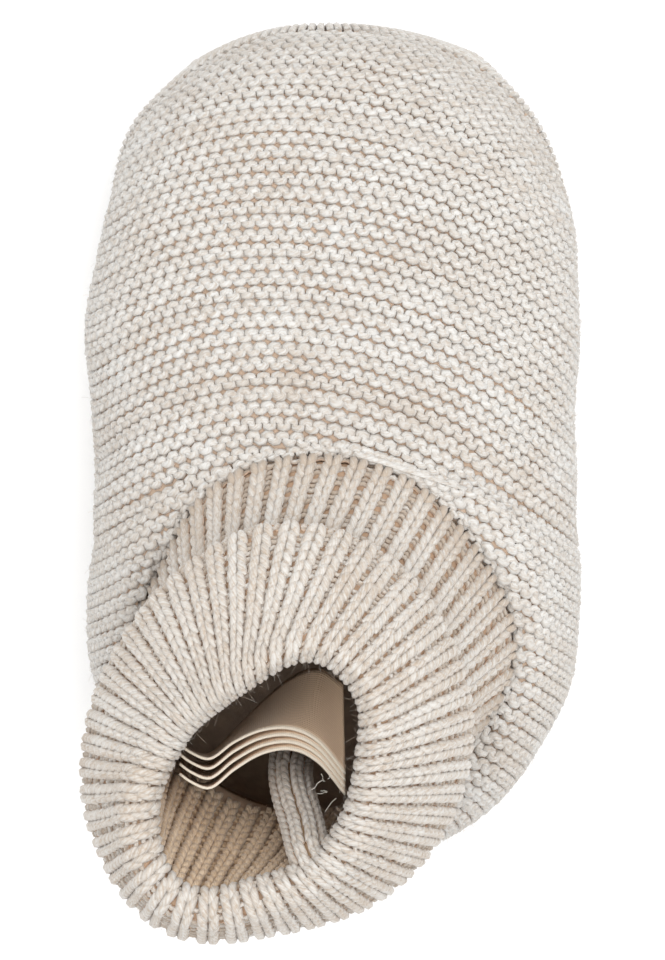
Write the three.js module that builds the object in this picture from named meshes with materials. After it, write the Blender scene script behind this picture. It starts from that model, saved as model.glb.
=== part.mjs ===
// A newborn's knitted slipper, standing empty on its sole. Millimetres, +Y towards the toe, +Z up.
// Garter-stitch sole and foot, and a ribbed leg whose top half is turned down outside as a cuff.
import * as THREE from 'three';

// Foot
const footLength = 99.5; // toe to back of heel
const ballWidth = 58.8; // across the ball of the foot
const instepHeight = 36.8; // floor to the top of the instep, in front of the ankle
const toeSeamHeight = 9; // floor to the linking seam at the toe
const sideSeamHeight = 7; // floor to the linking seam along the sides and heel
const bellyHeight = 16; // floor to the widest part of the side
const sideCurl = 10; // how far in from the outline the side comes down to the floor
const toeSpring = 17; // the same at the toe, which lifts off the floor
const archLift = 1.2; // rise of the sole under the waist
const ribSlack = 0.2; // room between the leg and the cloth below the ankle edge
const footWall = 2.4; // garter-stitch cloth of the foot
const soleWall = 2.6; // garter-stitch cloth of the sole
const seamRise = 0.7; // height of the raised linking seam
const seamBand = 1.9; // width of the raised linking seam
const seatGap = 0.3; // between pieces that are sewn together

// Leg and cuff
const ankleWidth = 49; // across the ankle edge of the foot
const cuffWidth = 46.5; // across the hem of the cuff
const mouthWidth = 25; // across the opening
const rimHeight = 57; // floor to the highest part of the fold
const ribWall = 2.1; // rib cloth
const foldRadius = 1.65; // half the spacing of the two layers at the fold
const legTuck = 0.9; // how far the leg reaches down inside the ankle edge
const ankleGap = 0.6; // between the leg and the ankle edge around it
const cuffLeanBack = 9.1; // the slack leg leans back and to the left
const cuffLeanLeft = 3.4;
const mouthLeanBack = 13;
const mouthLeanLeft = 6.7;
const cuffBulge = 1.2; // soft crown of the turned-down layer
const legBulge = 0.5;
const backSeamRise = 1; // the joining seam inside the back of the leg
const backSeamWidth = 5;

// Woven ribbon label
const ribbonWidth = 12;
const ribbonThickness = 0.45;
const leafCount = 4;
const leafSpread = 1.15; // spacing of the leaves at their free folds
const leafStack = 0.8; // spacing of the leaves where they are sewn together
const labelHeight = 43.5; // floor to the ribbon's upper edge

// Fineness of the meshes
const rowSteps = 40;
const acrossSteps = 13;
const ringSteps = 48;
const legSteps = 7;
const foldSteps = 4;
const cuffSteps = 5;

const halfWidth = ballWidth / 2;
const heelBack = -0.457 * footLength;
const forward = (share) => heelBack + share * footLength;

// Plan outline of the foot, from the middle of the toe to the middle of the heel
const outlineTable = [
  { forward: 1.0, left: 0.0, right: 0.0 },
  { forward: 0.992, left: -0.27, right: 0.29 },
  { forward: 0.968, left: -0.5, right: 0.56 },
  { forward: 0.93, left: -0.645, right: 0.695 },
  { forward: 0.868, left: -0.82, right: 0.85 },
  { forward: 0.773, left: -0.922, right: 0.972 },
  { forward: 0.637, left: -0.992, right: 0.995 },
  { forward: 0.476, left: -0.965, right: 0.985 },
  { forward: 0.325, left: -0.995, right: 1.0 },
  { forward: 0.228, left: -0.966, right: 0.98 },
  { forward: 0.153, left: -0.87, right: 0.868 },
  { forward: 0.085, left: -0.7, right: 0.7 },
  { forward: 0.036, left: -0.46, right: 0.5 },
  { forward: 0.008, left: -0.21, right: 0.24 },
  { forward: 0.0, left: 0.0, right: 0.0 },
];

// Side view of the vamp along its crest, from the toe seam to the ankle edge
const crestTable = [
  { forward: 1.0, height: 0.0 },
  { forward: 0.996, height: 0.12 },
  { forward: 0.975, height: 0.3 },
  { forward: 0.925, height: 0.5 },
  { forward: 0.83, height: 0.7 },
  { forward: 0.71, height: 0.85 },
  { forward: 0.59, height: 0.96 },
  { forward: 0.525, height: 1.0 },
];

// Where each knitted row meets the outline: row 0 lies along the toe, row 1 up the heel
const rowTable = [
  { row: 0.0, edge: 0.13 },
  { row: 0.22, edge: 0.35 },
  { row: 0.46, edge: 0.6 },
  { row: 0.72, edge: 0.78 },
  { row: 1.0, edge: 1.0 },
];

// Rings of the leg every 30 degrees, counted from +X towards the toe:
// reach as a share of each ring's half width, height as a share of instep or rim height
const ringTable = [
  { ankle: 1.03, ankleUp: 0.83, hem: 0.995, hemUp: 0.715, mouth: 0.96, rimUp: 0.965 },
  { ankle: 0.98, ankleUp: 0.91, hem: 1.0, hemUp: 0.785, mouth: 1.12, rimUp: 0.99 },
  { ankle: 0.985, ankleUp: 0.98, hem: 1.06, hemUp: 0.815, mouth: 1.08, rimUp: 1.0 },
  { ankle: 0.97, ankleUp: 0.993, hem: 1.067, hemUp: 0.82, mouth: 0.7, rimUp: 0.99 },
  { ankle: 0.945, ankleUp: 0.965, hem: 0.975, hemUp: 0.795, mouth: 0.56, rimUp: 0.96 },
  { ankle: 0.85, ankleUp: 0.885, hem: 0.94, hemUp: 0.73, mouth: 0.58, rimUp: 0.92 },
  { ankle: 0.89, ankleUp: 0.765, hem: 0.998, hemUp: 0.62, mouth: 0.7, rimUp: 0.88 },
  { ankle: 0.87, ankleUp: 0.72, hem: 1.11, hemUp: 0.53, mouth: 1.0, rimUp: 0.85 },
  { ankle: 0.86, ankleUp: 0.7, hem: 1.187, hemUp: 0.5, mouth: 1.28, rimUp: 0.835 },
  { ankle: 0.86, ankleUp: 0.71, hem: 1.045, hemUp: 0.515, mouth: 1.09, rimUp: 0.845 },
  { ankle: 0.88, ankleUp: 0.735, hem: 1.02, hemUp: 0.56, mouth: 1.04, rimUp: 0.875 },
  { ankle: 0.93, ankleUp: 0.775, hem: 1.0, hemUp: 0.63, mouth: 0.97, rimUp: 0.92 },
];
const ankleCentre = new THREE.Vector2(-0.095 * halfWidth, forward(0.256));
const hemCentre = ankleCentre.clone().sub(new THREE.Vector2(cuffLeanLeft, cuffLeanBack));
const mouthCentre = ankleCentre.clone().sub(new THREE.Vector2(mouthLeanLeft, mouthLeanBack));

// The ribbon's upper edge in plan, from its sewn end to its free folds, as shares of the mouth width,
// and how far its lower edge runs forward, as a share of the ribbon's width
const labelTable = [
  { across: 0.435, back: -0.07, run: 0.88 },
  { across: 0.31, back: 0.08, run: 0.72 },
  { across: 0.19, back: 0.14, run: 0.5 },
  { across: 0.05, back: 0.135, run: 0.26 },
  { across: -0.08, back: 0.08, run: 0.1 },
  { across: -0.2, back: 0.0, run: 0.04 },
  { across: -0.29, back: 0.03, run: 0.0 },
  { across: -0.345, back: 0.07, run: 0.0 },
];

const mix = (a, b, t) => a + (b - a) * t;
const smooth = (low, high, value) => THREE.MathUtils.smoothstep(value, low, high);

function lookUp(table, key, column, value) {
  const next = Math.max(1, table.findIndex((entry) => entry[key] >= value));
  const [a, b] = [table[next - 1], table[next]];
  return mix(a[column], b[column], (value - a[key]) / (b[key] - a[key]));
}

// Smooth closed reading of one column of the ring table
function ringValue(column, angle) {
  const count = ringTable.length;
  const place = (((angle / (2 * Math.PI)) % 1) + 1) % 1 * count;
  const index = Math.floor(place);
  const t = place - index;
  const [p0, p1, p2, p3] = [-1, 0, 1, 2].map((k) => ringTable[(index + k + count) % count][column]);
  return p1 + 0.5 * t * (p2 - p0 + t * (2 * p0 - 5 * p1 + 4 * p2 - p3 + t * (3 * (p1 - p2) + p3 - p0)));
}

function ringPoint(centre, width, column, angle, height) {
  const reach = (width / 2) * ringValue(column, angle);
  return new THREE.Vector3(
    centre.x + reach * Math.cos(angle),
    centre.y + reach * Math.sin(angle),
    height,
  );
}

const anklePoint = (angle) =>
  ringPoint(ankleCentre, ankleWidth, 'ankle', angle, instepHeight * ringValue('ankleUp', angle));

// Outline, crest and ankle edge as curves measured along their length
const sides = { left: -1, right: 1 };
const outline = {};
const ankleEdge = {};
for (const side of Object.keys(sides)) {
  outline[side] = new THREE.CatmullRomCurve3(
    outlineTable.map((entry) => new THREE.Vector3(halfWidth * entry[side], forward(entry.forward), 0)),
    false,
    'centripetal',
  );
  const turns = Array.from({ length: 25 }, (_, k) => Math.PI / 2 - (sides[side] * Math.PI * k) / 24);
  ankleEdge[side] = new THREE.CatmullRomCurve3(turns.map(anklePoint), false, 'centripetal');
}
const instepEdge = anklePoint(Math.PI / 2);
const crest = new THREE.CatmullRomCurve3(
  [
    ...crestTable.map(
      (entry) =>
        new THREE.Vector3(
          instepEdge.x * smooth(1, 0.5, entry.forward),
          forward(entry.forward),
          mix(toeSeamHeight, instepHeight, entry.height),
        ),
    ),
    instepEdge,
  ],
  false,
  'centripetal',
);
const instepRow = crest.getLength() / (crest.getLength() + ankleEdge.right.getLength());

// Heights and curl of the lower side at a share of the outline's length
const cornerEdge = rowTable[0].edge;
const heelCornerEdge = 0.9;
const sideward = (edge) => smooth(cornerEdge, 0.42, edge);
const belly = (edge) => mix(toeSeamHeight, bellyHeight, sideward(edge));
const seamHeight = (edge) => mix(toeSeamHeight, sideSeamHeight, sideward(edge));
const curlRun = (edge) => mix(toeSpring, sideCurl, sideward(edge));

function outwardAt(side, edge) {
  const tangent = outline[side].getTangentAt(edge);
  return new THREE.Vector3(-tangent.y, tangent.x, 0).multiplyScalar(sides[side]).normalize();
}

// A point on the lower side: drop is how far it lies below the widest part
function lowerSide(side, edge, drop) {
  const sine = Math.min(1, drop / belly(edge));
  const inset = curlRun(edge) * (1 - Math.sqrt(1 - sine * sine));
  const point = outline[side].getPointAt(edge);
  point.addScaledVector(outwardAt(side, edge), -inset);
  point.z = belly(edge) - drop;
  return point;
}

const topPoint = (side, row) =>
  row <= instepRow
    ? crest.getPointAt(row / instepRow)
    : ankleEdge[side].getPointAt((row - instepRow) / (1 - instepRow));

// One knitted row of the foot, from the crest or the ankle edge down to the linking seam
function rowCurve(side, row) {
  const edge = Math.min(1, lookUp(rowTable, 'row', 'edge', row));
  const top = topPoint(side, row);
  const wide = outline[side].getPointAt(edge);
  wide.z = belly(edge);
  const roundness = 2 / 2.35;
  const sweep = mix(2, roundness, smooth(instepRow - 0.1, instepRow + 0.25, row));
  const points = [];
  for (let k = 0; k <= 16; k += 1) {
    const angle = (Math.PI / 2) * (1 - k / 16);
    const out = Math.cos(angle) ** roundness;
    points.push(
      new THREE.Vector3(
        mix(top.x, wide.x, out),
        mix(top.y, wide.y, Math.cos(angle) ** sweep),
        mix(wide.z, top.z, Math.sin(angle) ** roundness),
      ),
    );
  }
  const drop = belly(edge) - seamHeight(edge);
  for (let k = 1; k <= 4 && drop > 0; k += 1) {
    points.push(lowerSide(side, edge, (drop * k) / 4));
  }
  if (row === 0) points.forEach((point) => point.setZ(toeSeamHeight));
  points.forEach((point) => point.setZ(Math.max(point.z, seamHeight(edge)) + seatGap / 2));
  return new THREE.CatmullRomCurve3(points, false, 'centripetal');
}

// Closed solid from an open surface and the same surface moved through the cloth
function shell(front, back, faces, colour) {
  const key = (a, b) => `${a}_${b}`;
  const edges = new Map();
  for (const face of faces) {
    face.forEach((a, k) => edges.set(key(a, face[(k + 1) % face.length]), [a, face[(k + 1) % face.length]]));
  }
  const shift = front.length;
  const triangles = [];
  const add = (face) => {
    for (let k = 1; k + 1 < face.length; k += 1) triangles.push([face[0], face[k], face[k + 1]]);
  };
  faces.forEach((face) => {
    add(face);
    add([...face].reverse().map((index) => index + shift));
  });
  for (const [a, b] of edges.values()) {
    if (!edges.has(key(b, a))) add([b, a, a + shift, b + shift]);
  }
  const points = [...front, ...back];
  let volume = 0;
  for (const [a, b, c] of triangles) {
    volume += points[a].dot(new THREE.Vector3().crossVectors(points[b], points[c]));
  }
  if (volume < 0) triangles.forEach((triangle) => triangle.reverse());
  const geometry = new THREE.BufferGeometry();
  geometry.setAttribute(
    'position',
    new THREE.Float32BufferAttribute(points.flatMap((point) => point.toArray()), 3),
  );
  geometry.setIndex(triangles.flat());
  geometry.computeVertexNormals();
  return new THREE.Mesh(geometry, new THREE.MeshStandardMaterial({ ...colour, metalness: 0 }));
}

// Normals of an open surface, area weighted, one for each point
function surfaceNormals(points, faces) {
  const normals = points.map(() => new THREE.Vector3());
  for (const face of faces) {
    const normal = new THREE.Vector3();
    for (let k = 1; k + 1 < face.length; k += 1) {
      const ab = points[face[k]].clone().sub(points[face[0]]);
      const ac = points[face[k + 1]].clone().sub(points[face[0]]);
      normal.add(ab.cross(ac));
    }
    face.forEach((index) => normals[index].add(normal));
  }
  return normals.map((normal) => normal.normalize());
}

// Points are shared where the two sides of the foot meet
function pointStore() {
  const points = [];
  const index = new Map();
  const put = (point) => {
    const name = point.toArray().map((value) => Math.round(value * 1e4)).join();
    if (!index.has(name)) {
      index.set(name, points.length);
      points.push(point);
    }
    return index.get(name);
  };
  return { points, put };
}

const pushFace = (faces, face) => {
  const kept = face.filter((value, k) => value !== face[(k + 1) % face.length]);
  if (kept.length > 2) faces.push(kept);
};

// Shares of a row's length and of the rows, closer together at the raised seam
const seamShare = seamBand / (0.8 * ballWidth);
const acrossShares = [
  ...Array.from({ length: acrossSteps - 1 }, (_, k) => (k / (acrossSteps - 2)) * (1 - 1.9 * seamShare)),
  1 - 1.15 * seamShare,
  1 - 0.85 * seamShare,
  1,
];
const rowShare = seamBand / (crest.getLength() + ankleEdge.right.getLength());
const rowShares = [0, 0.85 * rowShare, 1.15 * rowShare];
for (let k = 1; k <= rowSteps; k += 1) rowShares.push(mix(1.9 * rowShare, 1, (k - 1) / (rowSteps - 1)));

// The cloth behind the ankle edge stays outside the edge's own ring
function clearOfLeg(point) {
  const [x, y] = [point.x - ankleCentre.x, point.y - ankleCentre.y];
  const reach = (ankleWidth / 2) * ringValue('ankle', Math.atan2(y, x)) + ribSlack;
  const push = Math.max(1, reach / Math.hypot(x, y));
  return point.set(ankleCentre.x + x * push, ankleCentre.y + y * push, point.z);
}

function buildUpper() {
  const { points, put } = pointStore();
  const faces = [];
  const seam = new Map();
  const raised = new Set();
  const ankle = new Set();
  const shoulder = new Set();
  for (const side of Object.keys(sides)) {
    const grid = rowShares.map((row, i) => {
      const curve = rowCurve(side, row);
      return acrossShares.map((across, j) => {
        const index = put(curve.getPointAt(across));
        const onSeam = i === 0 || j === acrossShares.length - 1;
        if (onSeam) {
          const edge = i === 0 ? cornerEdge * across : lookUp(rowTable, 'row', 'edge', row);
          seam.set(index, outwardAt(side, Math.min(1, edge)));
        }
        if (i <= 1 || j >= acrossShares.length - 2) raised.add(index);
        if (j === 0 && row >= instepRow) ankle.add(index);
        if (j > 0 && j <= 5 && row >= instepRow) shoulder.add(index);
        return index;
      });
    });
    for (let i = 0; i + 1 < grid.length; i += 1) {
      for (let j = 0; j + 1 < acrossShares.length; j += 1) {
        const face = [grid[i][j], grid[i][j + 1], grid[i + 1][j + 1], grid[i + 1][j]];
        pushFace(faces, side === 'left' ? face : face.reverse());
      }
    }
  }
  const normals = surfaceNormals(points, faces);
  const outwardSign = Math.sign(normals[0].dot(new THREE.Vector3(0, 1, 1)));
  const back = points.map((point, k) => {
    if (seam.has(k)) return point.clone().addScaledVector(seam.get(k), -footWall);
    if (ankle.has(k)) return point.clone().setZ(point.z - footWall);
    const inner = point.clone().addScaledVector(normals[k], -footWall * outwardSign);
    return shoulder.has(k) ? clearOfLeg(inner) : inner;
  });
  const front = points.map((point, k) => {
    if (!raised.has(k)) return point;
    return point.clone().addScaledVector(seam.get(k) ?? normals[k], seamRise * (seam.has(k) ? 1 : outwardSign));
  });
  return shell(front, back, faces, { color: 0xd9d1c4, roughness: 0.95 });
}

// Height of the sole's underside at a plan position
const outlineSamples = Object.keys(sides).flatMap((side) =>
  Array.from({ length: 161 }, (_, k) => ({ point: outline[side].getPointAt(k / 160), edge: k / 160 })),
);
function undersideHeight(x, y) {
  let nearest = { gap: Infinity, edge: 0 };
  for (const { point, edge } of outlineSamples) {
    const gap = Math.hypot(x - point.x, y - point.y);
    if (gap < nearest.gap) nearest = { gap, edge };
  }
  const inward = Math.max(0, 1 - nearest.gap / curlRun(nearest.edge));
  const curl = belly(nearest.edge) * (1 - Math.sqrt(1 - Math.min(1, inward * inward)));
  const along = (y - heelBack) / footLength;
  const waist = smooth(0.24, 0.36, along) * (1 - smooth(0.46, 0.58, along));
  return curl + archLift * waist * (1 - inward);
}

// Points across the sole, closer together where its edge curls up
const soleShares = [-1, -0.95, -0.88, -0.79, -0.68, -0.54, -0.3, 0, 0.3, 0.54, 0.68, 0.79, 0.88, 0.95, 1];

function buildSole() {
  const { points, put } = pointStore();
  const faces = [];
  const seam = new Map();
  const seamPoint = (side, edge) =>
    lowerSide(side, edge, belly(edge) - seamHeight(edge) + seatGap / 2);
  const lastRow = 30;
  const rows = Array.from({ length: lastRow + 1 }, (_, k) => k / lastRow);
  const grid = rows.map((share, i) => {
    const edge = mix(cornerEdge, heelCornerEdge, share);
    const ends = { left: seamPoint('left', edge), right: seamPoint('right', edge) };
    return soleShares.map((across, j) => {
      const side = across < 0 ? 'left' : 'right';
      const onEdge = i === 0 || i === lastRow || Math.abs(across) === 1;
      let edgeHere = edge;
      if (i === 0) edgeHere = cornerEdge * Math.abs(across);
      if (i === lastRow) edgeHere = mix(1, heelCornerEdge, Math.abs(across));
      let point = ends.left.clone().lerp(ends.right, (across + 1) / 2);
      if (i === 0 || i === lastRow) point = seamPoint(side, edgeHere);
      if (!onEdge) point.z = undersideHeight(point.x, point.y);
      const index = put(point);
      if (onEdge) seam.set(index, outwardAt(side, edgeHere));
      return index;
    });
  });
  for (let i = 0; i + 1 < grid.length; i += 1) {
    for (let j = 0; j + 1 < soleShares.length; j += 1) {
      pushFace(faces, [grid[i][j], grid[i][j + 1], grid[i + 1][j + 1], grid[i + 1][j]]);
    }
  }
  const normals = surfaceNormals(points, faces);
  const upSign = Math.sign(normals[grid[15][7]].z);
  const back = points.map((point, k) => {
    if (seam.has(k)) return point.clone().addScaledVector(seam.get(k), -soleWall);
    return point.clone().addScaledVector(normals[k], soleWall * upSign);
  });
  return shell(points, back, faces, { color: 0xcfc7ba, roughness: 0.95 });
}

// One upright strip of the leg: up from the ankle, over the fold and down the cuff, mid-cloth
function legStrip(angle) {
  const ankle = anklePoint(angle);
  const inward = new THREE.Vector3(-Math.cos(angle), -Math.sin(angle), 0);
  const start = ankle.clone().addScaledVector(inward, ankleGap + ribWall / 2);
  start.z -= seatGap;
  const foot = start.clone().setZ(ankle.z - legTuck);
  const rim = rimHeight * ringValue('rimUp', angle);
  const rollRadius = foldRadius + ribWall / 2;
  const mouth = ringPoint(mouthCentre, mouthWidth, 'mouth', angle, rim - rollRadius);
  const hem = ringPoint(hemCentre, cuffWidth, 'hem', angle, rimHeight * ringValue('hemUp', angle));
  const outward = hem.clone().sub(mouth).setZ(0).normalize();
  const rollCentre = mouth.clone().addScaledVector(outward, rollRadius);
  const rise = rollCentre.clone().sub(start);
  const lean = rise.clone().addScaledVector(outward, -rise.dot(outward)).setZ(rise.z);
  const climb = outward.clone().multiplyScalar(rise.dot(outward)).setZ(lean.z).normalize();
  const away = new THREE.Vector3(outward.x * climb.z, outward.y * climb.z, -outward.dot(climb));
  away.normalize();
  const legTop = rollCentre.clone().addScaledVector(away, -foldRadius);
  const cuffTop = rollCentre.clone().addScaledVector(away, foldRadius);
  const hemMiddle = hem.clone().addScaledVector(outward, -ribWall / 2);
  const legMiddle = start.clone().lerp(legTop, 0.5).addScaledVector(away, legBulge);
  const cuffMiddle = cuffTop.clone().lerp(hemMiddle, 0.5).addScaledVector(away, cuffBulge);
  const leg = new THREE.CatmullRomCurve3([start, legMiddle, legTop], false, 'centripetal');
  const cuff = new THREE.CatmullRomCurve3([cuffTop, cuffMiddle, hemMiddle], false, 'centripetal');
  const points = [foot];
  for (let k = 0; k < legSteps; k += 1) points.push(leg.getPointAt(k / (legSteps - 1)));
  for (let k = 1; k < foldSteps; k += 1) {
    const turn = (Math.PI * k) / foldSteps;
    points.push(
      rollCentre
        .clone()
        .addScaledVector(away, -foldRadius * Math.cos(turn))
        .addScaledVector(climb, foldRadius * Math.sin(turn)),
    );
  }
  for (let k = 0; k <= cuffSteps; k += 1) points.push(cuff.getPointAt(k / cuffSteps));
  return points;
}

function buildCollar() {
  const points = [];
  const faces = [];
  const strips = Array.from({ length: ringSteps }, (_, k) => (2 * Math.PI * k) / ringSteps);
  strips.forEach((angle) => points.push(...legStrip(angle)));
  const length = points.length / ringSteps;
  for (let i = 0; i < ringSteps; i += 1) {
    for (let j = 0; j + 1 < length; j += 1) {
      const [a, b] = [i * length + j, ((i + 1) % ringSteps) * length + j];
      faces.push([a, b, b + 1, a + 1]);
    }
  }
  const normals = surfaceNormals(points, faces);
  const backSeamAngle = (288 / 180) * Math.PI;
  const front = points.map((point, k) => point.clone().addScaledVector(normals[k], ribWall / 2));
  const back = points.map((point, k) => {
    const angle = strips[Math.floor(k / length)];
    const along = k % length;
    const offset = (Math.abs(angle - backSeamAngle) * mouthWidth) / 2;
    const swell = along < legSteps ? backSeamRise * (1 - smooth(0, backSeamWidth / 2, offset)) : 0;
    return point.clone().addScaledVector(normals[k], -ribWall / 2 - swell);
  });
  return shell(front, back, faces, { color: 0xdcd4c8, roughness: 0.95 });
}

// One leaf of the folded ribbon: leaf 0 is the one nearest the toe
function buildLeaf(leaf) {
  const widthSteps = 3;
  const edgeCurve = new THREE.CatmullRomCurve3(
    labelTable.map(({ across, back, run }) => {
      const spread = mix(leafStack, leafSpread, smooth(0.2, -0.2, across));
      return new THREE.Vector3(
        mouthCentre.x + mouthWidth * across,
        mouthCentre.y + mouthWidth * back - leaf * spread,
        run,
      );
    }),
    false,
    'centripetal',
  );
  const points = [];
  const faces = [];
  const steps = 16;
  for (let i = 0; i <= steps; i += 1) {
    const place = edgeCurve.getPointAt(i / steps);
    const run = place.z * ribbonWidth;
    const drop = Math.sqrt(ribbonWidth ** 2 - run ** 2);
    for (let j = 0; j <= widthSteps; j += 1) {
      const t = j / widthSteps;
      points.push(new THREE.Vector3(place.x, place.y + run * t, labelHeight - drop * t));
    }
  }
  for (let i = 0; i < steps; i += 1) {
    for (let j = 0; j < widthSteps; j += 1) {
      const a = i * (widthSteps + 1) + j;
      faces.push([a, a + widthSteps + 1, a + widthSteps + 2, a + 1]);
    }
  }
  const normals = surfaceNormals(points, faces);
  const back = points.map((point, k) => point.clone().addScaledVector(normals[k], ribbonThickness));
  return shell(points, back, faces, { color: 0xb9a993, roughness: 0.6 });
}

const slipper = new THREE.Group();
const pieces = { sole: buildSole(), upper: buildUpper(), collar: buildCollar() };
for (let leaf = 0; leaf < leafCount; leaf += 1) pieces[`label_leaf_${leaf + 1}`] = buildLeaf(leaf);
for (const [name, mesh] of Object.entries(pieces)) {
  mesh.name = name;
  slipper.add(mesh);
}

// The origin is on the floor, under the middle of the whole slipper
const reach = new THREE.Box3().setFromObject(slipper);
const middle = reach.getCenter(new THREE.Vector3());
slipper.position.set(-middle.x, -middle.y, -reach.min.z);

export default slipper;
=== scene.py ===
import math

import bpy
import numpy as np
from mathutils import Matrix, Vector


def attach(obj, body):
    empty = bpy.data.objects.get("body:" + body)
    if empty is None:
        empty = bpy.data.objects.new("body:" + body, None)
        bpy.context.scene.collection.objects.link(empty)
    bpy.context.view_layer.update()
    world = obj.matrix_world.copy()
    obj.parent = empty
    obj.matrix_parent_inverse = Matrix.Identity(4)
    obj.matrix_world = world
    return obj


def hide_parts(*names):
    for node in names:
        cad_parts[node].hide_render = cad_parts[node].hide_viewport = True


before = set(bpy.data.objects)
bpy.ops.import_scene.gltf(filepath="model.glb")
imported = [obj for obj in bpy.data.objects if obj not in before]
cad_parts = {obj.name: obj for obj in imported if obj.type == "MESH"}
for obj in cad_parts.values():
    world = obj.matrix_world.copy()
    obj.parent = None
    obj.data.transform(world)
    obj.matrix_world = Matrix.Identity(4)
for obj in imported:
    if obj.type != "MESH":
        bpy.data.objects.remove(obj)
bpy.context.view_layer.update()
scene = bpy.context.scene
# From the plan's own origin to the frame's, in the middle of the solids' base
shift = np.array([0.219, -0.057, 0.0])
sides = {"left": -1, "right": 1}


# Numbers and curves
def mix(a, b, t):
    return a + (b - a) * t


def smooth(low, high, value):
    t = np.clip((np.asarray(value, float) - low) / (high - low), 0, 1)
    return t * t * (3 - 2 * t)


def unit(v):
    return v / np.maximum(np.linalg.norm(v, axis=-1, keepdims=True), 1e-9)


def evenly(count):
    return np.linspace(0, 1, count)


# Length of a line up to each of its points
def runAlong(line, least=0.0):
    return np.concatenate([[0], np.cumsum(np.maximum(np.linalg.norm(np.diff(line, axis=0), axis=1), least))])


# Values known at runs along a line, read at other runs
def readLine(values, run, spots):
    return np.stack([np.interp(spots, run, values[:, k]) for k in range(3)], -1)


# A smooth line through points, with the length run up to each of its own points
def measured(points, steps=16):
    p = np.asarray(points, float)
    p = np.vstack([2 * p[0] - p[1], p, 2 * p[-1] - p[-2]])
    gap = np.maximum(np.linalg.norm(np.diff(p, axis=0), axis=1) ** 0.5, 1e-4)[:, None]
    p0, p1, p2, p3 = (q[:, None] for q in (p[:-3], p[1:-2], p[2:-1], p[3:]))
    a, b, c = (g[:, None] for g in (gap[:-2], gap[1:-1], gap[2:]))
    m1 = ((p1 - p0) / a - (p2 - p0) / (a + b) + (p2 - p1) / b) * b
    m2 = ((p2 - p1) / b - (p3 - p1) / (b + c) + (p3 - p2) / c) * b
    t = np.linspace(0, 1, steps, endpoint=False)[None, :, None]
    body = (2 * t**3 - 3 * t**2 + 1) * p1 + (t**3 - 2 * t**2 + t) * m1
    body = body + (3 * t**2 - 2 * t**3) * p2 + (t**3 - t**2) * m2
    line = np.vstack([body.reshape(-1, 3), p[-2]])
    return line, runAlong(line)


def at(curve, share):
    return readLine(*curve, np.asarray(share, float) * curve[1][-1])


# Reads positions and normals from a grid at shares of its two directions
def readGrid(grid, u, v):
    points, normals = grid["points"], grid["normals"]
    rows, columns = points.shape[:2]
    u, v = np.clip(u, 0, 1) * (rows - 1), np.clip(v, 0, 1) * (columns - 1)
    i, j = np.minimum(u.astype(int), rows - 2), np.minimum(v.astype(int), columns - 2)
    a, b = (u - i)[..., None], (v - j)[..., None]
    read = lambda g: mix(mix(g[i, j], g[i, j + 1], b), mix(g[i + 1, j], g[i + 1, j + 1], b), a)
    return read(points), unit(read(normals))


def gridNormals(points, inside):
    normals = np.cross(np.gradient(points, axis=0), np.gradient(points, axis=1))
    outward = np.sum(normals * (points - inside))
    return unit(normals) * (1 if outward > 0 else -1)


# Foot
foot = {
    "length": 99.5,
    "ballWidth": 58.8,
    "instepHeight": 36.8,
    "toeSeamHeight": 9.0,
    "sideSeamHeight": 7.0,
    "bellyHeight": 16.0,
    "sideCurl": 10.0,
    "toeSpring": 17.0,
    "archLift": 1.2,
    "wall": 2.4,
    "soleWall": 2.6,
    "seatGap": 0.3,
    "heelBack": 0.457,
    "roundness": 2 / 2.35,
}
halfWidth = foot["ballWidth"] / 2
heelBack = -foot["heelBack"] * foot["length"]
forward = lambda share: heelBack + share * foot["length"]

# Plan outline as shares: forward, left, right
outlineShape = np.array([
    (1.0, 0.0, 0.0), (0.992, -0.27, 0.29), (0.968, -0.5, 0.56), (0.93, -0.645, 0.695),
    (0.868, -0.82, 0.85), (0.773, -0.922, 0.972), (0.637, -0.992, 0.995), (0.476, -0.965, 0.985),
    (0.325, -0.995, 1.0), (0.228, -0.966, 0.98), (0.153, -0.87, 0.868), (0.085, -0.7, 0.7),
    (0.036, -0.46, 0.5), (0.008, -0.21, 0.24), (0.0, 0.0, 0.0),
])
# Crest of the vamp as shares: forward, height
crestShape = np.array([
    (1.0, 0.0), (0.996, 0.12), (0.975, 0.3), (0.925, 0.5),
    (0.83, 0.7), (0.71, 0.85), (0.59, 0.96), (0.525, 1.0),
])
# Where each knitted row meets the outline: row, edge
rowShape = np.array([(0.0, 0.13), (0.22, 0.35), (0.46, 0.6), (0.72, 0.78), (1.0, 1.0)])
# Rings of the leg every 30 degrees from +X: ankle, ankleUp, hem, hemUp, mouth, rimUp
ringShape = np.array([
    (1.03, 0.83, 0.995, 0.715, 0.96, 0.965), (0.98, 0.91, 1.0, 0.785, 1.12, 0.99),
    (0.985, 0.98, 1.06, 0.815, 1.08, 1.0), (0.97, 0.993, 1.067, 0.82, 0.7, 0.99),
    (0.945, 0.965, 0.975, 0.795, 0.56, 0.96), (0.85, 0.885, 0.94, 0.73, 0.58, 0.92),
    (0.89, 0.765, 0.998, 0.62, 0.7, 0.88), (0.87, 0.72, 1.11, 0.53, 1.0, 0.85),
    (0.86, 0.7, 1.187, 0.5, 1.28, 0.835), (0.86, 0.71, 1.045, 0.515, 1.09, 0.845),
    (0.88, 0.735, 1.02, 0.56, 1.04, 0.875), (0.93, 0.775, 1.0, 0.63, 0.97, 0.92),
])
ringColumns = ("ankle", "ankleUp", "hem", "hemUp", "mouth", "rimUp")
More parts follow.
